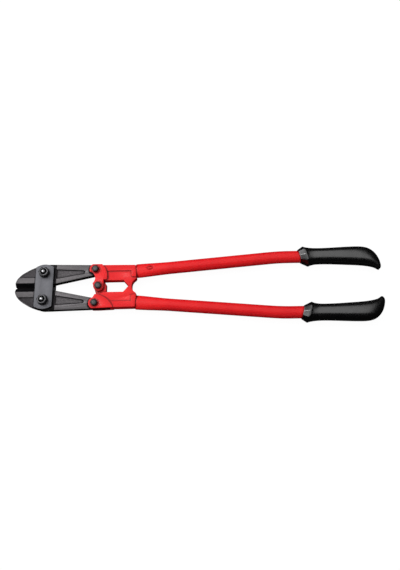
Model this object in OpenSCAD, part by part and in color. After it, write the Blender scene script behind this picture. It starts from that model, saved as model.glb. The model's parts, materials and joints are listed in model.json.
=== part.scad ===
// Bolt cutters, 600 mm class, lying flat and closed.
// +X runs from the blade tips to the grips, +Y to the upper handle, +Z up.
// The origin is under the middle of the tool, on the surface it lies on.

/* [Jaws] */
// Blade tip to the jaw bolt, along the tool
nose_l = 49; // [40:0.5:60]
// Jaw bolt to the tail bolt, along the tool
tail_l = 84.2; // [70:0.1:102]
// Half the distance between the two jaw bolts
jaw_bolt_y = 23.6; // [20:0.1:28]
// Half the distance between the two tail bolts, jaws closed
tail_bolt_y = 29; // [25:0.5:34]
// Half height of the closed jaws at their widest
jaw_half_h = 39.3; // [37:0.1:46]
// Thickness of the jaws
jaw_t = 11; // [9:0.5:14]
// Radius of the rounded jaw tail
tail_r = 8.5; // [7:0.1:9]
// Half width of the ground cutting bevel
bevel_w = 7.5; // [5:0.5:9]
// Depth of the forged hollows in jaws and heads
hollow_d = 1.2; // [0.5:0.1:2]

/* [Link plates] */
// Width of a link plate, along the tool
plate_w = 29.4; // [26:0.2:36]
// Thickness of a link plate
plate_t = 5; // [4:0.5:7]
// Radius of the rounded plate ends
plate_end_r = 25; // [20:1:30]
// Half height of a link plate
plate_half_h = 38.2; // [34:0.2:46]

/* [Bolts] */
// Diameter of the jaw bolts
jaw_bolt_d = 10; // [8:1:12]
// Hexagon of the jaw bolts and nuts, across flats
jaw_hex = 15; // [13:1:19]
// Diameter of the tail bolts and the centre bolt
pivot_bolt_d = 6; // [5:1:10]
// Hexagon of the tail and centre bolts, across flats
pivot_hex = 10; // [9:1:15]

/* [Handle heads] */
// Centre bolt ahead of the tail bolts, along the tool
throw_x = 5.5; // [3:0.5:8]
// Centre bolt to the shoulder that the tube meets
head_l = 61.3; // [54:0.1:74]
// Half height of the closed heads
head_half_h = 36.6; // [35:0.1:40]
// Thickness of one fork cheek
cheek_t = 4.4; // [3:0.1:6]
// Thickness of the head's body
body_t = 16; // [14:0.5:18]
// Radius of the ear round a tail bolt
tail_ear_r = 9.8; // [9.5:0.1:12]
// Radius of the ear round the centre bolt
centre_ear_r = 8.4; // [7.5:0.1:9]
// Half height of the window between the closed heads
window_y = 10.2; // [9:0.1:14]

/* [Tubes] */
// Outer diameter of the handle tubes
tube_d = 20.5; // [18:0.5:24]
// Wall of the handle tubes
tube_wall = 2; // [1.2:0.1:3]
// Length of tube between head and bend
tube_straight_l = 223; // [180:1:280]
// Angle of the tube to the tool's axis before the bend
splay = 5; // [3:0.5:7]
// Radius of the bend
bend_r = 400; // [250:10:600]
// Bare tube from the bend to the grip collar
tube_lead_l = 14; // [5:1:60]
// Half distance between the tube centres at the heads
shoulder_y = 27.1; // [26.5:0.1:29]

/* [Grips] */
// Length of a grip, collar edge to end
grip_l = 138.4; // [110:0.2:160]
// Height of a grip behind the collar
grip_front_h = 27.6; // [26:0.2:30]
// Height of a grip at its fullest
grip_full_h = 32.4; // [30:0.2:36]
// Thickness of a grip
grip_t = 26.4; // [25:0.2:30]
// Height of the collar's flange
flange_h = 37.4; // [34:0.2:42]

/* [Clearances] */
// Play between two flat faces that slide on each other
side_gap = 0.1; // [0.05:0.05:0.3]
// Radial play of a bolt in its hole
bolt_gap = 0.05; // [0.03:0.01:0.1]
// Radial play of a tube in its grip and of a tang in its tube
sleeve_gap = 0.1; // [0.05:0.05:0.3]
// Gap between the closed blades, and between the stop tabs
closed_gap = 0.05; // [0.05:0.05:0.4]
// Free travel of the centre bolt in the lower tongue
centre_slot_l = 3.9; // [3.8:0.1:5]

/* [Hidden] */
$fn = 96;
far = 400;
eps = 0.01;
hull_fn = 32;

// Layers, measured up and down from the plane through the middle of the jaws
jaw_z = jaw_t / 2;
plate_z = jaw_z + side_gap;
plate_top = plate_z + plate_t;
fork_z = jaw_z + side_gap;
cheek_top = fork_z + cheek_t;
body_z = body_t / 2;
panel_z = body_z - hollow_d;

// Bolt and nut heights
jaw_head_h = 6.4;
jaw_nut_h = 8;
jaw_bolt_proud = 2.4;
pivot_head_h = 4.6;
pivot_nut_h = 5.6;
pivot_bolt_proud = 0.8;
mid_z = plate_top + jaw_head_h;

// Turned corners: face of a hexagon against its flats, fall of its cone, chamfer of a shank
hex_face = 0.96;
hex_slope = 1.7;
shank_chamfer = 0.1;

// Stations along the tool
bend_run = bend_r * sin(splay);
bend_rise = bend_r * (1 - cos(splay));
bend_l = bend_r * splay * PI / 180;
straight_run = tube_straight_l * cos(splay);
straight_rise = tube_straight_l * sin(splay);
overall_l = nose_l + tail_l + throw_x + head_l + straight_run + bend_run
    + tube_lead_l + grip_l;
tip_x = -overall_l / 2;
jaw_bolt_x = tip_x + nose_l;
tail_bolt_x = jaw_bolt_x + tail_l;
centre_x = tail_bolt_x + throw_x;
shoulder_x = centre_x + head_l;
bend_x = shoulder_x + straight_run;
lead_x = bend_x + bend_run;
grip_x = lead_x + tube_lead_l;
grip_y = shoulder_y + straight_rise + bend_rise;
plate_edge_x = jaw_bolt_x - plate_w / 2;
plate_back_x = jaw_bolt_x + plate_w / 2;

// Jaw outline
blunt_r = 28.2;
blunt_y = 0.9;
blunt_l = 15;
blunt_cut = 0.7;
shoulder_r = 76.2;
crest_l = nose_l + 8.7;
crest_fall = 1;
heel_r = jaw_bolt_y - closed_gap;
heel_l = 15;
notch = 1.7;
land = 0.6;
band_w = 9.3;
bevel_runout = 6;
hollow_edge = 0.8;
panel_start = 3.7;
panel_tip_r = 3.2;
panel_tip_back = 21.2;
panel_rim = 7.2;
panel_tip_drop = 0.5;
panel_low_rim = 6;

// Handle head outline, measured from the centre bolt
waist_r = 11.9;
waist_x = -17.5;
waist_y = 13.5;
cheek_arc_r = 28;
cheek_arc_x = -14;
cheek_arc_y = 17;
cheek_low_y = 11;
cheek_high_y = tail_bolt_y + 8.6;
tab_front = 49.6;
tab_back = 54.6;
ramp_x = 40.8;
body_fall = 0.6;
seat_over = 2.2;
tab_seat_over = 1.6;
tab_over = 0.2;
back_arc_x = 67;
back_arc_y = 1;
back_arc_r = 12.2;
rim_y = 26.4;
rim_x = head_l - 7.3;
rim_low_y = 15.5;
rim_corner_r = 3;
ear_in = 1;
ear_down = 4;
ear_room = 0.6;
tube_seat_y = 14.6;
shield_r = 36;
shield_x = -9;
shield_y = 50;
shield_wall = 4;
neck_x = -4.3;
neck_y = 12.2;
neck_out_x = -8.2;
neck_out_y = tail_bolt_y - 9.9;
root_y = tail_bolt_y - 8;
root_cut = 2;
tongue_r = 8.2;
tongue_x = 12.4;
tongue_y = 4.5;
tongue_corner_r = 1.5;
slot_wall_x = 8;
centre_slot_lean = 22.5;
centre_slot_side = 0.65;
slot_sweep_r = tongue_x + 2.6;
jaw_sweep_r = tail_r + 2.5;

// Tube ends
flat_w = 24;
flat_t = 15;
flat_l = 60;
flat_steps = 6;
bend_steps = 6;
tube_sides = 36;
tang_l = 30;
tang_root = 3;

// Grip outline, measured from the collar edge
flange_lean = 14;
flange_x = 13.5;
collar_back = 10;
collar_front = 9.5;
collar_lip = 1.2;
neck_back = 27;
full_back = 34;
heel_in = 16;
hook_in = 6.5;
hook_y = 18;
heel_drop = 5;
heel_taper = 9;
hook_r = 6.5;
grip_bore_end = 36;
flange_over = 2.5;

function mirrored(side) = side > 0 ? [0, 0, 0] : [0, 1, 0];

// Draws its children between two heights from the middle plane
module layer(low, high) {
    translate([0, 0, mid_z + low]) linear_extrude(high - low) children();
}

// A pair of equal layers, above and below the middle plane
module layer_pair(low, high) {
    layer(low, high) children();
    layer(-high, -low) children();
}

// A 2D rectangle between two corners
module span(x0, y0, x1, y1) {
    translate([x0, y0]) square([x1 - x0, y1 - y0]);
}

// A circle at a place
module disc(x, y, r) {
    translate([x, y]) circle(r);
}

// A vertical round hole right through the tool
module hole(x, y, d) {
    translate([x, y, -eps]) cylinder(h = 2 * mid_z + jaw_nut_h, d = d);
}

// ---------------------------------------------------------------- jaws

// Nose of a jaw: a blunt front arc that runs into the long shoulder arc
module nose_outline() {
    intersection() {
        disc(tip_x + blunt_r - blunt_cut, blunt_y, blunt_r);
        span(tip_x, closed_gap, tip_x + blunt_l, far);
    }
    intersection() {
        disc(tip_x + crest_l, jaw_half_h - shoulder_r, shoulder_r);
        span(tip_x + blunt_l, closed_gap, tip_x + crest_l, far);
    }
}

// Tail of a jaw, from the widest place back to the tail bolt
module tail_outline() {
    heel_y = jaw_bolt_y - sqrt(pow(heel_r, 2) - pow(heel_l, 2));
    inner_a = atan2(tail_bolt_y - tail_r - heel_y, tail_l - heel_l);
    polygon([
        [jaw_bolt_x, closed_gap],
        [jaw_bolt_x + heel_l, heel_y],
        [tail_bolt_x + tail_r * sin(inner_a), tail_bolt_y - tail_r * cos(inner_a)],
        [tail_bolt_x, tail_bolt_y],
        [tail_bolt_x, tail_bolt_y + tail_r],
        [tip_x + crest_l, jaw_half_h],
        [jaw_bolt_x, jaw_half_h - crest_fall]
    ]);
    disc(tail_bolt_x, tail_bolt_y, tail_r);
}

// The two jaws roll on each other on an arc struck from the jaw bolt
module heel_cut() {
    difference() {
        span(jaw_bolt_x, -far, jaw_bolt_x + heel_l, jaw_bolt_y);
        disc(jaw_bolt_x, jaw_bolt_y, heel_r);
    }
}

module jaw_outline() {
    difference() {
        union() {
            nose_outline();
            tail_outline();
        }
        heel_cut();
        translate([tip_x, closed_gap]) rotate(45) square(notch * sqrt(2), center = true);
    }
}

// The V ground into the blade: a prism along the edge with a narrow land left
module bevel_cut() {
    length = nose_l - bevel_runout + 1;
    translate([tip_x - 1, closed_gap, mid_z])
        rotate([90, 0, 90])
            linear_extrude(length)
                for (flip = [0, 1]) mirror([0, flip, 0])
                    polygon([
                        [-1, land / 2],
                        [0, land / 2],
                        [bevel_w, jaw_z],
                        [bevel_w, jaw_z + 1],
                        [-1, jaw_z + 1]
                    ]);
}

// Hollow outside the band that backs the cutting edge
module nose_hollow() {
    span(tip_x - 1, bevel_w + band_w, plate_edge_x - hollow_edge, far);
}

// Wedge-shaped hollow in the tail, with a round point near the tail bolt
module tail_hollow() {
    start = plate_back_x + panel_start;
    tip = tail_bolt_x - panel_tip_back;
    rise = (tail_bolt_y - tail_r - bevel_w) / (tail_l - heel_l);
    low = bevel_w + rise * (start - jaw_bolt_x - heel_l) + panel_low_rim;
    high = jaw_half_h - panel_rim - crest_fall;
    mid = tail_bolt_y - panel_tip_r - panel_tip_drop;
    polygon([
        [start, low],
        [tip, mid - panel_tip_r],
        [tip, mid + panel_tip_r],
        [start, high]
    ]);
    disc(tip, mid, panel_tip_r);
}

module jaw(side) {
    mirror(mirrored(side)) difference() {
        layer(-jaw_z, jaw_z) jaw_outline();
        bevel_cut();
        layer_pair(jaw_z - hollow_d, jaw_z + 1) {
            nose_hollow();
            tail_hollow();
        }
        hole(jaw_bolt_x, jaw_bolt_y, jaw_bolt_d + 2 * bolt_gap);
        hole(tail_bolt_x, tail_bolt_y, pivot_bolt_d + 2 * bolt_gap);
    }
}

module upper_jaw() {
    color([0.36, 0.36, 0.38]) jaw(1);
}

module lower_jaw() {
    color([0.36, 0.36, 0.38]) jaw(-1);
}

// --------------------------------------------------------- link plates

module plate_outline() {
    end_y = plate_half_h - plate_end_r;
    intersection() {
        square([plate_w, 2 * plate_half_h], center = true);
        union() {
            disc(0, end_y, plate_end_r);
            disc(0, -end_y, plate_end_r);
            square([plate_w, 2 * end_y], center = true);
        }
    }
}

module link_plate(low) {
    difference() {
        layer(low, low + plate_t) translate([jaw_bolt_x, 0]) plate_outline();
        for (side = [-1, 1])
            hole(jaw_bolt_x, side * jaw_bolt_y, jaw_bolt_d + 2 * bolt_gap);
    }
}

module front_link_plate() {
    color([0.52, 0.53, 0.57]) link_plate(plate_z);
}

module rear_link_plate() {
    color([0.52, 0.53, 0.57]) link_plate(-plate_top);
}

// ------------------------------------------------------ bolts and nuts

// Hexagon with its outer corners turned off; top says which ends
module hex_body(flats, h, top = true, bottom = false) {
    bevel_r = flats / 2 * hex_face;
    intersection() {
        cylinder(h = h, d = flats / cos(30), $fn = 6);
        if (top) cylinder(h = h, r1 = bevel_r + h * hex_slope, r2 = bevel_r);
        if (bottom) cylinder(h = h, r1 = bevel_r, r2 = bevel_r + h * hex_slope);
    }
}

// Shank end with a turned chamfer
module shank(d, h) {
    chamfer = d * shank_chamfer;
    cylinder(h = h - chamfer, d = d);
    translate([0, 0, h - chamfer]) cylinder(h = chamfer, d1 = d, d2 = d - 2 * chamfer);
}

// Domed bolt end that stands out of the jaw nut
module dome(d, h) {
    ball_r = (pow(d / 2, 2) + pow(h, 2)) / (2 * h);
    intersection() {
        translate([0, 0, h - ball_r]) sphere(ball_r);
        cylinder(h = h, d = d);
    }
}

// Head at the rear, nut at the front
module jaw_bolt(side) {
    length = plate_top + plate_top + jaw_nut_h;
    translate([jaw_bolt_x, side * jaw_bolt_y, 0]) {
        translate([0, 0, jaw_head_h]) mirror([0, 0, 1]) hex_body(jaw_hex, jaw_head_h);
        translate([0, 0, jaw_head_h - eps]) cylinder(h = length + eps, d = jaw_bolt_d);
        translate([0, 0, jaw_head_h + length]) dome(jaw_bolt_d, jaw_bolt_proud);
    }
}

module jaw_nut(side) {
    translate([jaw_bolt_x, side * jaw_bolt_y, mid_z + plate_top]) difference() {
        hex_body(jaw_hex, jaw_nut_h);
        translate([0, 0, -1]) cylinder(h = jaw_nut_h + 2, d = jaw_bolt_d + 2 * bolt_gap);
    }
}

// Head at the front, nut at the rear
module pivot_bolt(x, y) {
    length = 2 * cheek_top + pivot_nut_h + pivot_bolt_proud;
    translate([x, y, mid_z + cheek_top]) {
        hex_body(pivot_hex, pivot_head_h);
        mirror([0, 0, 1]) translate([0, 0, -eps]) shank(pivot_bolt_d, length + eps);
    }
}

module pivot_nut(x, y) {
    translate([x, y, mid_z - cheek_top]) mirror([0, 0, 1]) difference() {
        hex_body(pivot_hex, pivot_nut_h);
        translate([0, 0, -1]) cylinder(h = pivot_nut_h + 2, d = pivot_bolt_d + 2 * bolt_gap);
    }
}

module upper_jaw_bolt() {
    color([0.16, 0.16, 0.17]) jaw_bolt(1);
}

module lower_jaw_bolt() {
    color([0.16, 0.16, 0.17]) jaw_bolt(-1);
}

module upper_jaw_nut() {
    color([0.2, 0.2, 0.21]) jaw_nut(1);
}

module lower_jaw_nut() {
    color([0.2, 0.2, 0.21]) jaw_nut(-1);
}

module upper_tail_bolt() {
    color([0.33, 0.33, 0.34]) pivot_bolt(tail_bolt_x, tail_bolt_y);
}

module lower_tail_bolt() {
    color([0.33, 0.33, 0.34]) pivot_bolt(tail_bolt_x, -tail_bolt_y);
}

module upper_tail_nut() {
    color([0.33, 0.33, 0.34]) pivot_nut(tail_bolt_x, tail_bolt_y);
}

module lower_tail_nut() {
    color([0.33, 0.33, 0.34]) pivot_nut(tail_bolt_x, -tail_bolt_y);
}

module centre_bolt() {
    color([0.33, 0.33, 0.34]) pivot_bolt(centre_x, 0);
}

module centre_nut() {
    color([0.33, 0.33, 0.34]) pivot_nut(centre_x, 0);
}

// -------------------------------------------------------- handle heads
// Outlines are drawn for the upper side, with the centre bolt at [0, 0].

// Body between fork and tube, down to the stop tab
module body_outline() {
    difference() {
        polygon([
            [0, head_half_h],
            [head_l, head_half_h - body_fall],
            [head_l + seat_over, tube_seat_y],
            [tab_back, tube_seat_y],
            [tab_back, closed_gap],
            [tab_front, closed_gap],
            [ramp_x, window_y],
            [0, window_y]
        ]);
        disc(back_arc_x, back_arc_y, back_arc_r);
    }
}

// The back of the stop tab swings up to the tube in a hollow arc
module tab_outline() {
    difference() {
        polygon([
            [tab_front, closed_gap],
            [tab_back + tab_over, closed_gap],
            [head_l + tab_seat_over, tube_seat_y],
            [tab_front, tube_seat_y]
        ]);
        disc(back_arc_x, back_arc_y, back_arc_r);
    }
}

// Shoulder face square to the tube
module tube_side_cut() {
    translate([head_l, shoulder_y]) rotate(splay) span(0, -far, far, far);
}

// The raised part of the body: a rim along the top and one next to the tube
module rim_outline() {
    span(-far, rim_y, far, far);
    hull() {
        span(rim_x, rim_low_y + rim_corner_r, far, far);
        disc(rim_x + rim_corner_r, rim_low_y + rim_corner_r, rim_corner_r);
    }
}

// Raised cheek of the upper head: it takes in the tail bolt and the centre bolt
module long_cheek_outline() {
    tail_y = tail_bolt_y;
    difference() {
        union() {
            disc(-throw_x, tail_y, tail_ear_r);
            disc(0, 0, centre_ear_r);
            intersection() {
                disc(cheek_arc_x, cheek_arc_y, cheek_arc_r);
                span(-throw_x, cheek_low_y, far, far);
            }
            polygon([
                [-centre_ear_r, 0],
                [centre_ear_r, 0],
                [centre_ear_r, cheek_low_y],
                [-throw_x, tail_y],
                [-throw_x - tail_ear_r + ear_in, tail_y - ear_down]
            ]);
        }
        disc(waist_x, waist_y, waist_r);
        span(-far, cheek_high_y, far, far);
    }
}

// Slot that the jaw tail and the other head's tongue swing in
module long_cheek_slot() {
    span(-far, -far, slot_wall_x, far);
    disc(0, 0, slot_sweep_r);
    disc(-throw_x, tail_bolt_y, jaw_sweep_r);
}

// Raised cheek of the lower head, round the tail bolt only
module short_cheek_outline() {
    intersection() {
        disc(shield_x, shield_y, shield_r);
        polygon([
            [-throw_x, 0],
            [far, 0],
            [shield_x + shield_r, head_half_h],
            [0, cheek_high_y],
            [-throw_x, cheek_high_y]
        ]);
    }
    intersection() {
        disc(-throw_x, tail_bolt_y, tail_ear_r);
        span(-far, -far, far, cheek_high_y);
    }
    polygon([
        [-throw_x, tail_bolt_y],
        [-throw_x - tail_ear_r + ear_in, tail_bolt_y - ear_down],
        [neck_out_x, neck_out_y],
        [-throw_x, shield_y - sqrt(pow(shield_r, 2) - pow(throw_x + shield_x, 2))]
    ]);
}

module short_cheek_slot() {
    disc(shield_x, shield_y, shield_r - shield_wall);
    span(-far, tail_bolt_y - jaw_sweep_r, shield_x, far);
}

// Tongue that reaches between the upper head's cheeks to the centre bolt
module tongue_outline() {
    disc(0, 0, tongue_r);
    hull() {
        span(0, 0, tongue_x, eps);
        disc(tongue_x - tongue_corner_r, -tongue_y + tongue_corner_r, tongue_corner_r);
        disc(0, -tongue_y + tongue_corner_r, tongue_corner_r);
    }
    polygon([
        [-tongue_r, 0],
        [neck_x, neck_y],
        [neck_out_x, neck_out_y],
        [neck_out_x, root_y],
        [ramp_x / 2, root_y],
        [ramp_x / 2, window_y + root_cut],
        [tongue_x + root_cut, window_y],
        [tongue_x, window_y - root_cut],
        [tongue_x, 0]
    ]);
}

// The centre bolt has free travel in the tongue, along a line that halves the swing
module centre_slot() {
    r = pivot_bolt_d / 2 + centre_slot_side;
    rotate(90 - centre_slot_lean) {
        disc(0, 0, r);
        disc(centre_slot_l, 0, r);
        span(0, -r, centre_slot_l, r);
    }
}

// A flat bar's section with round edges, across the tube
module stadium(width, thick) {
    square([width - thick, thick], center = true);
    for (side = [-1, 1]) translate([side * (width - thick) / 2, 0]) circle(d = thick);
}

// Flattened tang that the tube is pressed on to
module tang() {
    taper = (flat_w - tube_d) * roundness(tang_l);
    width = flat_w - taper - 2 * (tube_wall + sleeve_gap);
    translate([head_l, shoulder_y, mid_z]) rotate([0, 0, splay])
        translate([-tang_root, 0, 0]) rotate([90, 0, 90])
            linear_extrude(tang_root + tang_l)
                stadium(width, flat_t - 2 * (tube_wall + sleeve_gap));
}

module head_body() {
    difference() {
        union() {
            layer(-panel_z, panel_z) {
                body_outline();
                tab_outline();
            }
            layer(-body_z, body_z) intersection() {
                union() {
                    body_outline();
                    tab_outline();
                }
                rim_outline();
            }
        }
        layer(-far, far) tube_side_cut();
    }
}

module upper_head_shape() {
    difference() {
        union() {
            head_body();
            layer(-cheek_top, cheek_top) long_cheek_outline();
            tang();
        }
        layer(-fork_z, fork_z) long_cheek_slot();
        hole(-throw_x, tail_bolt_y, pivot_bolt_d + 2 * bolt_gap);
        hole(0, 0, pivot_bolt_d + 2 * bolt_gap);
    }
}

module lower_head_shape() {
    difference() {
        union() {
            difference() {
                union() {
                    difference() {
                        head_body();
                        layer(-far, far) span(-far, -far, 0, far);
                    }
                    layer(-cheek_top, cheek_top) short_cheek_outline();
                    tang();
                }
                layer_pair(jaw_z, far) disc(0, 0, centre_ear_r + centre_slot_l + ear_room);
                layer(-fork_z, fork_z) short_cheek_slot();
            }
            layer(-jaw_z, jaw_z) difference() {
                tongue_outline();
                short_cheek_slot();
            }
        }
        hole(-throw_x, tail_bolt_y, pivot_bolt_d + 2 * bolt_gap);
        layer(-far, far) centre_slot();
    }
}

module upper_handle_head() {
    color([0.83, 0.1, 0.1]) translate([centre_x, 0, 0]) upper_head_shape();
}

module lower_handle_head() {
    color([0.83, 0.1, 0.1]) translate([centre_x, 0, 0]) mirror([0, 1, 0]) lower_head_shape();
}

// --------------------------------------------------------------- tubes

// Centre line: [along, across, heading] at a distance from the shoulder
function tube_line(s) =
    s <= tube_straight_l ? [s * cos(splay), s * sin(splay), splay] :
    s <= tube_straight_l + bend_l ? tube_bend(splay * (1 - (s - tube_straight_l) / bend_l)) :
    [straight_run + bend_run + s - tube_straight_l - bend_l, straight_rise + bend_rise, 0];

function tube_bend(heading) = [
    straight_run + bend_run - bend_r * sin(heading),
    straight_rise + bend_rise - bend_r * (1 - cos(heading)),
    heading
];

// From flat to round, 0 to 1, with no kink at either end
function roundness(s) = s < flat_l ? (1 - cos(180 * s / flat_l)) / 2 : 1;

// Section across the tube: a stadium that widens into a circle
function tube_ring(s, shrink) =
    let (line = tube_line(s), k = roundness(s))
    let (thick = flat_t + (tube_d - flat_t) * k - 2 * shrink)
    let (side = (1 - k) * (flat_w - flat_t) / 2)
    [for (i = [0 : tube_sides - 1])
        let (a = 360 * (i + 0.5) / tube_sides)
        let (across = sign(cos(a)) * side + thick / 2 * cos(a))
        [
            shoulder_x + line[0] - across * sin(line[2]),
            shoulder_y + line[1] + across * cos(line[2]),
            mid_z + thick / 2 * sin(a)
        ]];

// Skin outwards along the tube, then back along the bore
module tube_body() {
    length = tube_straight_l + bend_l + tube_lead_l + grip_l - grip_bore_end;
    out = concat(
        [for (i = [0 : flat_steps]) flat_l * i / flat_steps],
        [for (i = [0 : bend_steps]) tube_straight_l + bend_l * i / bend_steps],
        [length]
    );
    count = len(out);
    rings = concat(
        [for (i = [0 : count - 1]) tube_ring(out[i], 0)],
        [for (i = [count - 1 : -1 : 0]) tube_ring(out[i], tube_wall)]
    );
    polyhedron(
        points = [for (ring = rings) for (p = ring) p],
        faces = [for (r = [0 : 2 * count - 1]) for (i = [0 : tube_sides - 1])
            let (next = (r + 1) % (2 * count), j = (i + 1) % tube_sides)
            [
                r * tube_sides + i, next * tube_sides + i,
                next * tube_sides + j, r * tube_sides + j
            ]]
    );
}

module tube(side) {
    mirror(mirrored(side)) tube_body();
}

module upper_tube() {
    color([0.87, 0.12, 0.12]) tube(1);
}

module lower_tube() {
    color([0.87, 0.12, 0.12]) tube(-1);
}

// --------------------------------------------------------------- grips

// Oval ball that the grip's outline is wrapped round
module grip_ball(x, y, h) {
    translate([grip_x + x, grip_y + y, mid_z])
        scale([1, 1, min(1, grip_t / h)]) sphere(d = h, $fn = hull_fn);
}

// Leaning flange that keeps the hand on the grip
module flange() {
    translate([grip_x + flange_x, grip_y, mid_z]) rotate([0, 90, flange_lean]) {
        cylinder(h = collar_back, d1 = flange_h, d2 = grip_front_h);
        translate([0, 0, -collar_front])
            cylinder(h = collar_front, d1 = tube_d + 2 * collar_lip, d2 = flange_h);
    }
}

module grip_body() {
    full_x = grip_l - full_back;
    hull() {
        translate([grip_x + neck_back - collar_back, grip_y, mid_z])
            rotate([0, 90, 0]) scale([min(1, grip_t / grip_front_h), 1, 1])
                cylinder(h = 1, d = grip_front_h, $fn = hull_fn);
        grip_ball(full_x, 0, grip_full_h);
    }
    hull() {
        grip_ball(full_x, 0, grip_full_h);
        grip_ball(grip_l - heel_in - heel_drop, -heel_drop, grip_full_h - heel_taper);
        grip_ball(grip_l - hook_in, -hook_y, 2 * hook_r);
    }
}

module grip(side) {
    bore_l = grip_l - grip_bore_end;
    mirror(mirrored(side)) difference() {
        union() {
            intersection() {
                flange();
                layer(-grip_t / 2 - flange_over, grip_t / 2 + flange_over) span(-far, -far, far, far);
            }
            grip_body();
        }
        translate([grip_x - 1, grip_y, mid_z]) rotate([0, 90, 0])
            cylinder(h = bore_l + 1, d = tube_d + 2 * sleeve_gap);
    }
}

module upper_grip() {
    color([0.07, 0.07, 0.08]) grip(1);
}

module lower_grip() {
    color([0.07, 0.07, 0.08]) grip(-1);
}

upper_jaw();
lower_jaw();
front_link_plate();
rear_link_plate();
upper_jaw_bolt();
lower_jaw_bolt();
upper_jaw_nut();
lower_jaw_nut();
upper_handle_head();
lower_handle_head();
upper_tail_bolt();
lower_tail_bolt();
upper_tail_nut();
lower_tail_nut();
centre_bolt();
centre_nut();
upper_tube();
lower_tube();
upper_grip();
lower_grip();
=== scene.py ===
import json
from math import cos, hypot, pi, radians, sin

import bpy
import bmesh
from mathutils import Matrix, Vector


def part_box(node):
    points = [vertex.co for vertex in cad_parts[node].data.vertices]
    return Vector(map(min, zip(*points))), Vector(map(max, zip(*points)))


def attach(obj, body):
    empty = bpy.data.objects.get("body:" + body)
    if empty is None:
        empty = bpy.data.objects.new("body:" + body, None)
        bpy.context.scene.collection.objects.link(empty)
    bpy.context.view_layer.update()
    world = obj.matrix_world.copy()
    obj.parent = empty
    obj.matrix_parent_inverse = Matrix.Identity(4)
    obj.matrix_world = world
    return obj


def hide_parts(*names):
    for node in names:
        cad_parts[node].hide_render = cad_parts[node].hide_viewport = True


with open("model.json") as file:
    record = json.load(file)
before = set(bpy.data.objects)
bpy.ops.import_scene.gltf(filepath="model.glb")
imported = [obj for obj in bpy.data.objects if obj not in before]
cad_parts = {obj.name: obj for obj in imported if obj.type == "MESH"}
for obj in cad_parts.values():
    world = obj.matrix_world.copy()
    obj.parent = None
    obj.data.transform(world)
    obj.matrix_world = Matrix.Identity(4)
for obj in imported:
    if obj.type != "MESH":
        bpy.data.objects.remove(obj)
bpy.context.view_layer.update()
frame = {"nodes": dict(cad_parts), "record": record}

# %% [markdown]
# # Bolt cutters
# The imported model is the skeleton: it fixes every size, pivot and joint. This
# lesson dresses it. Forged parts get rounded corners, tubes and grips are
# modelled afresh, and every surface gets a finish made of shader nodes.
# All lengths are metres, X runs from the blade tips to the grips, Y to the
# upper handle and Z up from the bench.

MM = 0.001
MID_Z = 17 * MM
nodes = frame["nodes"]

# %% [markdown]
# ## Camera
# The tool lies on a table and the camera looks down on it from the side of
# the lower handle, about seventeen degrees off straight down. The turns are
# set one after another: tilt the column, swing the arm, then level the frame.

# %% Camera
TILT, SWING, LEVEL = radians(16.91), radians(-0.206), radians(0.927)
CAMERA_REACH = 885.3 * MM
CAMERA_DROP = 1.194 * MM
AIM_X = 1.95 * MM
LENS = 33.55

stand = (
    Matrix.Rotation(TILT, 4, "X")
    @ Matrix.Rotation(-SWING, 4, "Y")
    @ Matrix.Rotation(-LEVEL, 4, "Z")
)
bpy.ops.object.camera_add()
camera = bpy.context.object
camera.name = "camera"
camera.data.lens = LENS
camera.data.clip_end = 20
camera.matrix_world = (
    Matrix.Translation((AIM_X, 0, MID_Z))
    @ stand
    @ Matrix.Translation((0, CAMERA_DROP, CAMERA_REACH))
)
bpy.context.scene.camera = camera
print("camera at", [round(v, 3) for v in camera.matrix_world.translation])

# %% [markdown]
# ## Light and table
# Glossy black and red want one large soft box overhead, set a little behind
# the tool, so that tubes and grips are bright along their upper half and fall
# off towards the viewer. A low box beyond the blades picks out the facets of
# the grip collars, and a weak one in front opens the shadows without showing
# up in the gloss. The table is the floor of a large white room, so that a low
# view has a pale wall behind the tool.


# %% Light and table
ROOM = 8


def soft_box(name, place, size, watts):
    bpy.ops.object.light_add(type="AREA", location=place)
    lamp = bpy.context.object
    lamp.name = name
    lamp.data.shape = "RECTANGLE"
    lamp.data.size, lamp.data.size_y = size
    lamp.data.energy = watts
    lamp.rotation_euler = (Vector(place) * -1).to_track_quat("-Z", "Y").to_euler()
    print(name, watts, "W")
    return lamp


soft_box("key_box", (-0.05, 0.40, 1.30), (1.8, 2.4), 19.5)
soft_box("spark_box", (-0.60, 0.38, 1.25), (0.25, 0.25), 3)
soft_box("side_box", (-0.80, 0.30, 0.62), (0.7, 0.4), 5)
soft_box("front_box", (0, -0.90, 0.35), (1.6, 0.5), 2.2).visible_glossy = False

room = bpy.data.worlds.new("room")
bpy.context.scene.world = room
room.use_nodes = True
haze = room.node_tree.nodes["Background"].inputs
haze["Color"].default_value = (1, 1, 1, 1)
haze["Strength"].default_value = 0.012
bpy.context.scene.view_settings.view_transform = "Standard"
bpy.context.scene.view_settings.look = "None"

bpy.ops.mesh.primitive_cube_add(size=ROOM, location=(0, 0, ROOM / 2))
table = bpy.context.object
table.name = "table_and_walls"
table.visible_diffuse = table.visible_glossy = False
print(table.name, ROOM, "m")

# %% [markdown]
# ## Arithmetic on sockets
# A pattern is a sum of masks. Writing it as plain arithmetic keeps it
# readable, so one small class wraps a socket and every operator adds the
# Math node that it stands for.


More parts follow.
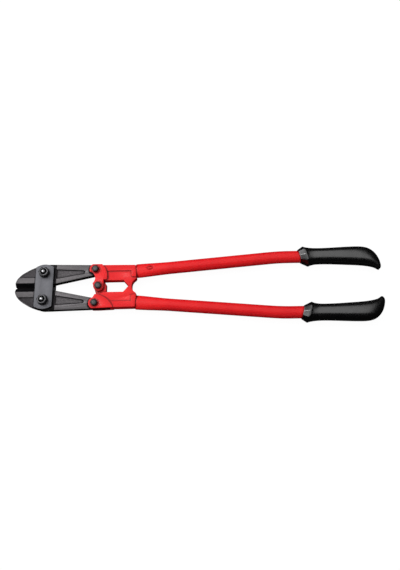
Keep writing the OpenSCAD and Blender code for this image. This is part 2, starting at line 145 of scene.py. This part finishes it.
# %% Socket arithmetic
class Wire:
    """A number or colour inside a finish, ready for arithmetic."""

    def __init__(self, finish, socket):
        self.finish, self.socket = finish, socket

    def math(self, operation, *values):
        inputs = dict(enumerate(values))
        return self.finish.node("Math", {"operation": operation}, inputs)

    def __add__(self, other):
        return self.math("ADD", self, other)

    def __mul__(self, other):
        return self.math("MULTIPLY", self, other)

    __radd__, __rmul__ = __add__, __mul__

    def __sub__(self, other):
        return self.math("SUBTRACT", self, other)

    def __rsub__(self, other):
        return self.math("SUBTRACT", other, self)

    def __abs__(self):
        return self.math("ABSOLUTE", self)

    def root(self):
        return self.math("SQRT", self)

    def ramp(self, low, high):
        """0 at low, 1 at high, straight between and flat outside."""
        inputs = {"Value": self, "From Min": low, "From Max": high}
        return self.finish.node("MapRange", {"clamp": True}, inputs)


class Finish:
    """A material and the few ways this lesson adds nodes to it."""

    def __init__(self, name):
        self.material = bpy.data.materials.new(name)
        self.material.use_nodes = True
        self.tree = self.material.node_tree
        self.shader = self.tree.nodes["Principled BSDF"]
        place = self.node("TexCoord", out="Object")
        self.place = place
        self.x, self.y, self.z = (
            self.node("SeparateXYZ", {}, {0: place}, axis) for axis in "XYZ"
        )

    def node(self, kind, settings=None, inputs=None, out=0):
        made = self.tree.nodes.new("ShaderNode" + kind)
        for key, value in (settings or {}).items():
            setattr(made, key, value)
        for key, value in (inputs or {}).items():
            if isinstance(value, Wire):
                self.tree.links.new(value.socket, made.inputs[key])
            else:
                made.inputs[key].default_value = value
        return Wire(self, made.outputs[out])

    def noise(self, size, detail=3, stretch=(1, 1, 1)):
        """Cloudy pattern; size is the width of one cloud."""
        place = self.place
        if stretch != (1, 1, 1):
            place = self.node("Mapping", {}, {"Vector": place, "Scale": stretch})
        inputs = {"Vector": place, "Scale": 1 / size, "Detail": detail}
        return self.node("TexNoise", {}, inputs, "Fac")

    def blend(self, amount, first, second):
        """Colour between first, at 0, and second, at 1."""
        pair = [c if isinstance(c, Wire) else (*c, 1) for c in (first, second)]
        inputs = {0: amount, 6: pair[0], 7: pair[1]}
        return self.node("Mix", {"data_type": "RGBA"}, inputs, 2)

    def corners(self, reach):
        """1 in the open, towards 0 in a corner or under a neighbour."""
        inputs = {"Distance": reach}
        return self.node("AmbientOcclusion", {"samples": 24}, inputs, "AO")

    def edges(self, low, high):
        """0 on flat ground, 1 on outer edges that get rubbed."""
        return self.node("NewGeometry", out="Pointiness").ramp(low, high)

    def facing(self, axis):
        """How far the surface looks along an axis, from -1 to 1."""
        normal = self.node("NewGeometry", out="Normal")
        turn = {"convert_from": "WORLD", "convert_to": "OBJECT"}
        turn["vector_type"] = "NORMAL"
        normal = self.node("VectorTransform", turn, {0: normal})
        return self.node("SeparateXYZ", {}, {0: normal}, axis)

    def flatness(self, low, high):
        """1 on faces that look straight up or down, 0 on side walls."""
        return abs(self.facing("Z")).ramp(low, high)

    def bump(self, height, depth):
        """Raises the surface by height times depth."""
        return self.node("Bump", {}, {"Height": height, "Distance": depth})

    def dress(self, **values):
        """Sets or links the shader's sockets, named with _ for a space."""
        for key, value in values.items():
            socket = self.shader.inputs[key.replace("_", " ")]
            if isinstance(value, Wire):
                self.tree.links.new(value.socket, socket)
            else:
                socket.default_value = (*value, 1) if type(value) is tuple else value
        print(self.material.name, len(self.tree.nodes), "nodes")
        return self.material


table_finish = Finish("pale_table")
table.data.materials.append(
    table_finish.dress(
        Base_Color=(0.07, 0.07, 0.07),
        Roughness=0.9,
        Specular_IOR_Level=0.0,
        Emission_Color=(1, 1, 1),
        Emission_Strength=0.965,
    )
)

# %% [markdown]
# ## Red enamel
# The heads and tubes are dipped in bright red enamel. Inner corners are painted
# darker, as painted shade, and the enamel thins on outer edges, which look
# lighter and pinker. A fine orange peel breaks up its reflections. Narrow gaps
# and the inside of the forks' slots are painted black, as painted shade.


# %% Red enamel
# Reaches and places of the painted shade in the enamel.
CORNER_SHADE_REACH = 4 * MM  # reach of the darker paint in an inner corner
GAP_SHADE_REACH = 20 * MM  # reach of the black inside a narrow gap
FORK_Z = 5.8 * MM  # half the width of a fork's slot
FORK_Y = 20 * MM  # the slots lie further out than this
FORK_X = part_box("lower_tail_bolt")[1].x + 17.5 * MM  # and end here


def red_enamel():
    f = Finish("red_enamel")
    drift = f.noise(30 * MM, 2)
    peel = f.noise(1.6 * MM, 2)
    cast = f.noise(3.2 * MM, 4)
    colour = f.blend(drift.ramp(0.35, 0.65), (0.80, 0.014, 0.016), (0.74, 0.010, 0.014))
    # Inner corners are painted darker: painted shade.
    corner_shade = f.corners(CORNER_SHADE_REACH).ramp(0.89, 0.99)
    colour = f.blend(corner_shade, (0.32, 0.004, 0.005), colour)
    # Narrow gaps and the inside of the fork slots are painted black: painted shade.
    gap_shade = f.corners(GAP_SHADE_REACH).ramp(0.05, 0.28)
    inside = abs(f.z - MID_Z).ramp(FORK_Z, FORK_Z - 0.1 * MM)
    inside = inside * abs(f.y).ramp(FORK_Y, FORK_Y + MM)
    inside = inside * f.x.ramp(FORK_X + 0.5 * MM, FORK_X)
    colour = f.blend(gap_shade * (1 - inside), (0.004, 0.001, 0.001), colour)
    scuffs = f.noise(4.5 * MM, 5).ramp(0.64, 0.7) * f.edges(0.52, 0.60)
    colour = f.blend(scuffs * 0.5, colour, (0.88, 0.10, 0.09))
    return f.dress(
        Base_Color=colour,
        Roughness=0.36 + 0.12 * peel,
        Specular_IOR_Level=0.16,
        Coat_Weight=0.05,
        Coat_Roughness=0.15,
        Normal=f.bump(0.4 * peel + drift + 1.4 * cast, 0.03 * MM),
    )


enamel = red_enamel()

# %% [markdown]
# ## Forged jaw steel
# The jaws are drop forged and blackened, then their raised bands and the
# cutting bevels are ground. Ground bands lie on the outer faces, so height
# above the middle plane tells them from the forged hollows. A strip beside the
# link plates is painted black, a painted shadow of the plates. Side walls are
# painted near black and inner corners darker, as painted shade.


# %% Jaw steel
GROUND_Z = 5.35 * MM  # the ground bands stand higher than this
BEVEL_Y = 7.6 * MM  # half the width over both cutting bevels
NOSE_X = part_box("upper_jaw_bolt")[0].x
HOLLOW_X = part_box("front_link_plate")[1].x + 3.7 * MM


def jaw_steel():
    f = Finish("jaw_steel")
    height = abs(f.z - MID_Z)
    ground = height.ramp(GROUND_Z - 0.3 * MM, GROUND_Z)
    scale = f.noise(2.2 * MM, 6)
    cloud = f.noise(12 * MM, 3)
    grit = f.noise(0.7 * MM, 4, (0.4, 1, 1))
    grain = grit.ramp(0.3, 0.7)
    nose_side = f.x.ramp(NOSE_X + MM, NOSE_X)
    forged = f.blend(scale.ramp(0.3, 0.7), (0.055, 0.051, 0.054), (0.125, 0.117, 0.122))
    forged = f.blend(nose_side * 0.5, forged, (0.035, 0.032, 0.036))
    polished = f.blend(grain, (0.075, 0.070, 0.073), (0.125, 0.118, 0.122))
    polished = f.blend(nose_side * 0.45, polished, (0.02, 0.019, 0.02))
    polished = f.blend(cloud.ramp(0.35, 0.7) * 0.4, polished, (0.072, 0.068, 0.071))
    colour = f.blend(ground, forged, polished)
    # Side walls are painted near black: painted shade.
    walls = f.flatness(0.8, 0.98)
    colour = f.blend(walls, (0.010, 0.009, 0.010), colour)
    blade = nose_side * abs(f.y).ramp(BEVEL_Y + 0.1 * MM, BEVEL_Y) * (1 - ground)
    colour = f.blend(blade, colour, (0.004, 0.004, 0.005))
    # A strip beside the link plates is painted black: painted shadow of the plates.
    plate_shadow = f.x.ramp(HOLLOW_X + 0.3 * MM, HOLLOW_X - 0.3 * MM) * (1 - nose_side)
    colour = f.blend(plate_shadow, colour, (0.005, 0.005, 0.005))
    # Inner corners are painted darker: painted shade.
    corner_shade = f.corners(4 * MM).ramp(0.90, 0.992)
    colour = f.blend(corner_shade, (0.010, 0.009, 0.010), colour)
    return f.dress(
        Base_Color=colour,
        Metallic=0.85,
        Specular_IOR_Level=0.2,
        Roughness=0.5 + 0.2 * scale - 0.12 * ground,
        Normal=f.bump(scale * (1 - 0.7 * ground) + 0.3 * grit, 0.26 * MM),
    )


jaw_finish = jaw_steel()

# %% [markdown]
# ## Rolled plate
# The link plates are sheared from rolled bar and keep its blue-grey oxide
# skin. A fine grain stretched along Y is the rolling direction. Faces that look
# sideways are painted black and inner corners darker, as painted shade.


# %% Plate steel
def plate_steel():
    f = Finish("plate_steel")
    skin = f.noise(6 * MM, 5)
    grain = f.noise(0.4 * MM, 4, (1, 0.12, 1))
    colour = f.blend(skin.ramp(0.3, 0.7), (0.122, 0.123, 0.136), (0.160, 0.160, 0.175))
    colour = f.blend(grain.ramp(0.35, 0.7) * 0.35, colour, (0.10, 0.10, 0.11))
    # Inner corners are painted darker and faces that look sideways black: painted
    # shade.
    corner_shade = f.corners(3 * MM).ramp(0.4, 0.93)
    colour = f.blend(corner_shade, (0.02, 0.02, 0.022), colour)
    colour = f.blend(f.flatness(0.3, 0.8), (0.008, 0.008, 0.009), colour)
    return f.dress(
        Base_Color=colour,
        Metallic=0.6,
        Roughness=0.60 + 0.15 * skin,
        Normal=f.bump(skin + 0.5 * grain, 0.1 * MM),
    )


plate_finish = plate_steel()

# %% [markdown]
# ## Bolts and nuts
# The jaw bolts and nuts are oiled black oxide. The domed bolt ends, which stand
# above the nuts, are painted bright where they look up: a painted highlight that
# also stands for wear. The small pivot bolts are phosphate, painted grey in the
# middle of each head where it looks up, as painted highlight and wear, and dark
# round its rim, as painted shade. The distance from the bolt's axis tells the
# two apart. Inner corners are painted near black, as painted shade.


# %% Bolt finishes
NUT_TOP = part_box("upper_jaw_nut")[1].z
CROWN_R, RIM_R = 3.4 * MM, 8 * MM


def middle(node):
    """Where a bolt's axis stands, seen from above."""
    low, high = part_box(node)
    return (low.x + high.x) / 2, (low.y + high.y) / 2


def oxide_bolt(name, dark, light, crown_highlight, rough, low=0.0):
    """Dark oxide, painted bright where a face looks up and lies above low: a painted
    highlight that also stands for wear.
    """
    f = Finish(name)
    skin = f.noise(1.2 * MM, 4)
    colour = f.blend(skin.ramp(0.3, 0.7), dark, light)
    # Faces that look up, above low, are painted bright: a painted highlight, partly
    # wear.
    high = 0.06 + 0.94 * f.z.ramp(low, low + 0.6 * MM)
    wear_and_highlight = f.flatness(0.90, 0.985) * skin.ramp(0.1, 0.5) * high
    # A ring round the middle of each pivot bolt's head loses most of its brightness:
    # painted shade.
    for node in ("upper_tail_bolt", "lower_tail_bolt", "centre_bolt"):
        x, y = middle(node)
        along, across = f.x - x, f.y - y
        far = (along * along + across * across).root()
        rim_shade = far.ramp(CROWN_R - 0.8 * MM, CROWN_R) * far.ramp(RIM_R + MM, RIM_R)
        wear_and_highlight = wear_and_highlight * (1 - 0.75 * rim_shade)
    colour = f.blend(wear_and_highlight, colour, crown_highlight)
    # Inner corners are painted near black: painted shade.
    corner_shade = f.corners(3 * MM).ramp(0.5, 0.93)
    colour = f.blend(corner_shade, (0.004, 0.004, 0.004), colour)
    return f.dress(
        Base_Color=colour,
        Metallic=0.9,
        Roughness=rough + 0.12 * skin,
        Normal=f.bump(skin, 0.04 * MM),
    )


black_finish = oxide_bolt(
    "black_oxide",
    (0.004, 0.004, 0.0045),
    (0.012, 0.012, 0.013),
    (0.30, 0.30, 0.31),
    0.18,
    NUT_TOP + 0.2 * MM,
)
grey_finish = oxide_bolt(
    "phosphate_wear_and_highlight",
    (0.006, 0.006, 0.0065),
    (0.016, 0.016, 0.017),
    (0.062, 0.060, 0.061),
    0.38,
)

# %% [markdown]
# ## Black vinyl
# The grips are moulded vinyl: a black body under a glossy skin, which the
# shader's coat gives. The collar facets that lean most towards the head are
# painted grey, a painted highlight.


# %% Black vinyl
COLLAR_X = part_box("upper_grip")[0].x + 15 * MM


def black_vinyl():
    f = Finish("black_vinyl")
    skin = f.noise(1.1 * MM, 3)
    cloud = f.noise(9 * MM, 3)
    colour = f.blend(cloud, (0.0006, 0.0006, 0.0007), (0.0016, 0.0016, 0.0017))
    # Collar facets that lean towards the head are painted grey: a painted highlight.
    facet_highlight = f.facing("X").ramp(-0.34, -0.41) * f.flatness(0.70, 0.80)
    facet_highlight = facet_highlight * f.x.ramp(COLLAR_X + 0.4 * MM, COLLAR_X) * (0.6 + 0.8 * cloud)
    colour = f.blend(facet_highlight, colour, (0.17, 0.17, 0.175))
    return f.dress(
        Base_Color=colour,
        Roughness=0.18 + 0.16 * cloud + 0.05 * skin,
        Specular_IOR_Level=0.6,
        Coat_Weight=1.0,
        Coat_IOR=1.45,
        Coat_Roughness=0.2,
        Normal=f.bump(cloud + 0.1 * skin, 0.2 * MM),
    )


vinyl = black_vinyl()

# %% [markdown]
# ## Which finish goes where
# The record names a material slot for every piece, and a body that it moves
# with. A small table gives each slot its finish.

# %% Slots and bodies
finishes = {
    "jaw_steel": jaw_finish,
    "plate_steel": plate_finish,
    "black_bolt": black_finish,
    "grey_bolt": grey_finish,
    "red_paint": enamel,
    "black_vinyl": vinyl,
}
record = frame["record"]
slot_of = {part["node"]: part["material_slot"] for part in record["subparts"]}
body_of = {
    node: body
    for body, members in record["behaviour"]["bodies"].items()
    for node in members
}
print(len(slot_of), "pieces in", len(finishes), "finishes")

# %% [markdown]
# ## Softened copies of the forged parts
# A forging or a casting has no knife edges. The CAD solids are sharp, so a
# copy of each is welded from its loose triangles into clean flats, and a
# bevel rounds every corner sharper than a set angle.

# %% Softened copies
WELD, FLAT, SHARP = 0.01 * MM, radians(0.5), radians(30)


def only(piece):
    """Selects this piece and nothing else."""
    bpy.ops.object.select_all(action="DESELECT")
    piece.select_set(True)
    bpy.context.view_layer.objects.active = piece


def finish_piece(piece, node, angle=32):
    only(piece)
    bpy.ops.object.shade_smooth_by_angle(angle=radians(angle))
    piece.data.materials.clear()
    piece.data.materials.append(finishes[slot_of[node]])
    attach(piece, body_of[node])
    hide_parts(node)
    print(piece.name, len(piece.data.polygons), "faces")
    return piece


def soften(node, name, width):
    piece = bpy.data.objects.new(name, nodes[node].data.copy())
    bpy.context.scene.collection.objects.link(piece)
    only(piece)
    bpy.ops.object.mode_set(mode="EDIT")
    bpy.ops.mesh.select_all(action="SELECT")
    bpy.ops.mesh.remove_doubles(threshold=WELD)
    bpy.ops.mesh.dissolve_limited(angle_limit=FLAT)
    bpy.ops.object.mode_set(mode="OBJECT")
    bevel = piece.modifiers.new("rounded", "BEVEL")
    bevel.width = width
    bevel.segments = 2
    bevel.limit_method = "ANGLE"
    bevel.angle_limit = SHARP
    bpy.ops.object.modifier_apply(modifier=bevel.name)
    return finish_piece(piece, node)


HEAD_EDGE, STEEL_EDGE, BOLT_EDGE = 0.5 * MM, 0.4 * MM, 0.25 * MM
for side in ("upper", "lower"):
    soften(side + "_jaw", side + "_jaw_forging", STEEL_EDGE)
    soften(side + "_handle_head", side + "_head_forging", HEAD_EDGE)
    soften(side + "_jaw_nut", side + "_jaw_nut_black", BOLT_EDGE)
    soften(side + "_jaw_bolt", side + "_jaw_bolt_black", BOLT_EDGE)
    soften(side + "_tail_bolt", side + "_tail_bolt_grey", BOLT_EDGE)
    soften(side + "_tail_nut", side + "_tail_nut_grey", BOLT_EDGE)
for face in ("front", "rear"):
    soften(face + "_link_plate", face + "_plate_sheared", STEEL_EDGE)
soften("centre_bolt", "centre_bolt_grey", BOLT_EDGE)
soften("centre_nut", "centre_nut_grey", BOLT_EDGE)

# %% [markdown]
# ## Rings along a centre line
# A bent tube and a moulded grip are the same thing to a modeller: a row of
# rings. One ring is added as a circle with a corner straight up. Each next
# one is extruded from it, unturned, resized and turned to its own heading.
# With no window open, rotate turns the other way, hence the minus sign.


# %% Rings
class Row:
    """Rings along a handle. Sizes are half the width and half the thickness."""

    def __init__(self, name, sides, centre, heading, across, thick):
        bpy.ops.object.select_all(action="DESELECT")
        self.centre, self.heading = Vector(centre), 0
        self.across = self.thick = 1
        bpy.ops.mesh.primitive_circle_add(
            vertices=sides,
            radius=1,
            location=centre,
            rotation=(pi / 2, 0, pi / 2),
            enter_editmode=True,
        )
        self.piece = bpy.context.object
        self.piece.name = name
        self.shape(centre, heading, across, thick)

    def turn(self, angle):
        bpy.ops.transform.rotate(
            value=-angle, orient_axis="Z", center_override=self.centre
        )

    def shape(self, centre, heading, across, thick):
        self.turn(-self.heading)
        size = (1, across / self.across, thick / self.thick)
        bpy.ops.transform.resize(value=size, center_override=self.centre)
        self.turn(heading)
        bpy.ops.transform.translate(value=Vector(centre) - self.centre)
        self.centre, self.heading = Vector(centre), heading
        self.across, self.thick = across, thick

    def add(self, centre, heading, across, thick):
        bpy.ops.mesh.extrude_region()
        self.shape(centre, heading, across, thick)

    def close(self):
        bpy.ops.mesh.edge_face_add()

    def done(self):
        bpy.ops.mesh.select_all(action="SELECT")
        bpy.ops.mesh.normals_make_consistent(inside=False)
        bpy.ops.object.mode_set(mode="OBJECT")
        only(self.piece)
        bpy.ops.object.transform_apply(location=True, rotation=True, scale=True)
        return self.piece


def other_side(piece, name):
    """The same piece for the lower handle, mirrored across the tool."""
    only(piece)
    bpy.ops.object.duplicate(linked=False)
    twin = bpy.context.object
    twin.name = name
    bpy.ops.object.mode_set(mode="EDIT")
    bpy.ops.mesh.select_all(action="SELECT")
    bpy.ops.transform.resize(value=(1, -1, 1), center_override=(0, 0, 0))
    bpy.ops.mesh.normals_make_consistent(inside=False)
    bpy.ops.object.mode_set(mode="OBJECT")
    return twin


# %% [markdown]
# ## Handle tubes
# Each handle is a steel tube, pressed oval where it goes on to the head's
# tang, straight for most of its length and then bent parallel to the other.
# The front end has a rolled edge. The row of rings follows that centre line.

# %% Tube centre line
SPLAY = radians(5)
STRAIGHT, BEND_R = 223 * MM, 400 * MM
BEND_L = BEND_R * SPLAY
ROUND_R = 10.25 * MM
OVAL_ACROSS, OVAL_THICK, OVAL_L = 12 * MM, 7.5 * MM, 60 * MM
tube_low, tube_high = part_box("upper_tube")
shoulder = Vector(
    (
        tube_low.x + OVAL_ACROSS * sin(SPLAY),
        tube_low.y + OVAL_ACROSS * cos(SPLAY),
        MID_Z,
    )
)


def on_tube(along):
    """Centre and heading of the tube this far from the shoulder."""
    bent = min(max(along - STRAIGHT, 0), BEND_L)
    straight = min(along, STRAIGHT)
    heading = SPLAY - bent / BEND_R
    x = straight * cos(SPLAY) + BEND_R * (sin(SPLAY) - sin(heading))
    y = straight * sin(SPLAY) + BEND_R * (cos(heading) - cos(SPLAY))
    x += max(along - STRAIGHT - BEND_L, 0)
    return shoulder + Vector((x, y, 0)), heading


def tube_section(along):
    """Half width and half thickness: oval at the head, round further on."""
    roundness = (1 - cos(pi * min(along / OVAL_L, 1))) / 2
    across = OVAL_ACROSS + (ROUND_R - OVAL_ACROSS) * roundness
    thick = OVAL_THICK + (ROUND_R - OVAL_THICK) * roundness
    return across, thick


tube_end = tube_high.x - on_tube(STRAIGHT + BEND_L)[0].x + STRAIGHT + BEND_L
print("tube length mm", round(tube_end / MM, 1))

# %% Tubes
TUBE_SIDES = 64
MOUTH = 0.8  # size of the rolled edge's front ring, as a part of the full ring
rolled_edge = [(0.15, 0.88), (0.6, 0.95), (1.3, 0.985)]
stations = [2.4 * MM + OVAL_L * i / 36 for i in range(36)]
stations += [OVAL_L + 4 * MM, STRAIGHT / 2, STRAIGHT]
stations += [STRAIGHT + BEND_L * i / 10 for i in range(1, 11)] + [tube_end]

centre, heading = on_tube(0)
across, thick = tube_section(0)
across, thick = MOUTH * across, MOUTH * thick
row = Row("upper_tube_bent", TUBE_SIDES, centre, heading, across, thick)
row.close()
for along, part in rolled_edge:
    centre, heading = on_tube(along * MM)
    across, thick = tube_section(along * MM)
    row.add(centre, heading, part * across, part * thick)
for along in stations:
    row.add(*on_tube(along), *tube_section(along))
row.close()
upper_tube = row.done()
lower_tube = other_side(upper_tube, "lower_tube_bent")

# %% [markdown]
# ## Crimp mark
# A press leaves a plain oval dent in the upper tube, where it is pinched on
# to the tang. The faces under the press are subdivided, and the points inside
# ever smaller ovals are pushed down a little at a time, leaving the middle
# high. Smoothing then evens out the steps.

# %% Crimp mark
MARK_ALONG, MARK_L, MARK_W, PRESS = 24 * MM, 6.4 * MM, 3.6 * MM, 0.28 * MM
mark = on_tube(MARK_ALONG)[0] + Vector((0, 1.4 * MM, 0))


def in_oval(place, grow):
    x, y = place.x - mark.x, place.y - mark.y
    along = x * cos(SPLAY) + y * sin(SPLAY)
    side = y * cos(SPLAY) - x * sin(SPLAY)
    return hypot(along / (MARK_L * grow), side / (MARK_W * grow)) < 1


def pick(piece, kind, test):
    """Selects the vertices or faces that pass the test, in edit mode."""
    bpy.ops.mesh.select_all(action="DESELECT")
    bpy.ops.mesh.select_mode(type={"verts": "VERT", "faces": "FACE"}[kind])
    shape = bmesh.from_edit_mesh(piece.data)
    count = 0
    for item in getattr(shape, kind):
        place = item.co if kind == "verts" else item.calc_center_median()
        if place.z > MID_Z and test(place):
            item.select_set(True)
            count += 1
    shape.select_flush_mode()
    bmesh.update_edit_mesh(piece.data)
    return count


only(upper_tube)
bpy.ops.object.mode_set(mode="EDIT")
pick(upper_tube, "faces", lambda place: in_oval(place, 1.5))
bpy.ops.mesh.subdivide(number_cuts=4)
for grow in (1.1, 1.0, 0.9, 0.8):
    count = pick(upper_tube, "verts", lambda place: in_oval(place, grow))
    bpy.ops.transform.translate(value=(0, 0, -PRESS))
print("points pressed", count)
for grow in (0.62, 0.52, 0.42):
    pick(upper_tube, "verts", lambda place: in_oval(place, grow))
    bpy.ops.transform.translate(value=(0, 0, PRESS))
pick(upper_tube, "verts", lambda place: in_oval(place, 1.3))
bpy.ops.mesh.vertices_smooth(factor=0.5, repeat=7)
bpy.ops.mesh.select_mode(type="VERT")
bpy.ops.object.mode_set(mode="OBJECT")
finish_piece(upper_tube, "upper_tube", 50)
finish_piece(lower_tube, "lower_tube", 50)

# %% [markdown]
# ## Grips
# Each grip is one vinyl moulding: a lip on the tube, a ten-sided collar that
# leans towards the head, a waist, a fuller palm swell and a hooked heel. It
# starts as a coarse cage of ten-sided rings. Subdivision rounds the cage, and
# creased edges keep the facets of the collar crisp. Extruding a creased ring
# passes its crease on, so the crease is taken off every ring of the body.

# %% Grips
axis_y = on_tube(tube_end)[0].y
grip_low, grip_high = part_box("upper_grip")
CAGE = 1.068  # a ten-sided cage shrinks by this when it is smoothed
collar_rings = [  # along from the lip, off the axis, lean, half width, half thickness
    (1.4, 0.1, 13, 10.35, 10.35),
    (0.6, 0.1, 13, 11.7, 11.4),
    (11.6, 0.3, 14.3, 18.4, 15.5),
]
body_rings = [
    (18.6, 0.4, 13, 15.6, 13.6),
    (24.5, 0.5, 9, 14.4, 13.0),
    (34, 0.5, 4, 13.9, 12.9),
    (46, 0.6, 0, 14.0, 13.0),
    (62, 0.7, 0, 14.7, 13.1),
    (80, 0.6, 0, 15.7, 13.2),
    (95, 0.4, 0, 16.3, 13.2),
    (106, -0.1, -1, 16.7, 13.1),
    (115, -1.6, -4, 16.4, 12.7),
    (121.5, -4.4, -9, 14.8, 11.8),
    (127, -8.4, -14, 12.3, 10.3),
    (131, -13.2, -20, 9.3, 8.4),
    (133.4, -18.2, -27, 6.6, 6.6),
    (134.6, -21.5, -38, 4.5, 4.7),
    (134.9, -23.4, -46, 2.3, 2.5),
]


def grip_ring(ring, full):
    along, off, lean, across, thick = ring
    centre = Vector((grip_low.x + along * MM, axis_y + off * MM, MID_Z))
    return centre, radians(lean), across * full * MM, thick * full * MM


row = Row("upper_grip_vinyl", 10, *grip_ring(collar_rings[0], 1))
for ring in collar_rings[1:]:
    row.add(*grip_ring(ring, 1))
cage = bmesh.from_edit_mesh(row.piece.data)
last = [v.index for v in cage.verts if v.select]
bpy.ops.mesh.select_all(action="SELECT")
bpy.ops.transform.edge_crease(value=0.92)
bpy.ops.mesh.select_all(action="DESELECT")
cage = bmesh.from_edit_mesh(row.piece.data)
cage.verts.ensure_lookup_table()
for index in last:
    cage.verts[index].select_set(True)
cage.select_flush_mode()
bmesh.update_edit_mesh(row.piece.data)
for ring in body_rings:
    row.add(*grip_ring(ring, CAGE))
    bpy.ops.transform.edge_crease(value=-1)
row.close()
upper_grip = row.done()
smooth = upper_grip.modifiers.new("smooth", "SUBSURF")
smooth.levels = smooth.render_levels = 3
only(upper_grip)
bpy.ops.object.modifier_apply(modifier=smooth.name)
lower_grip = other_side(upper_grip, "lower_grip_vinyl")
finish_piece(upper_grip, "upper_grip", 35)
finish_piece(lower_grip, "lower_grip", 35)
for piece in (upper_tube, upper_grip):
    reach = [sorted(v.co[axis] / MM for v in piece.data.vertices) for axis in range(3)]
    print(piece.name, "mm", [(round(r[0], 1), round(r[-1], 1)) for r in reach])
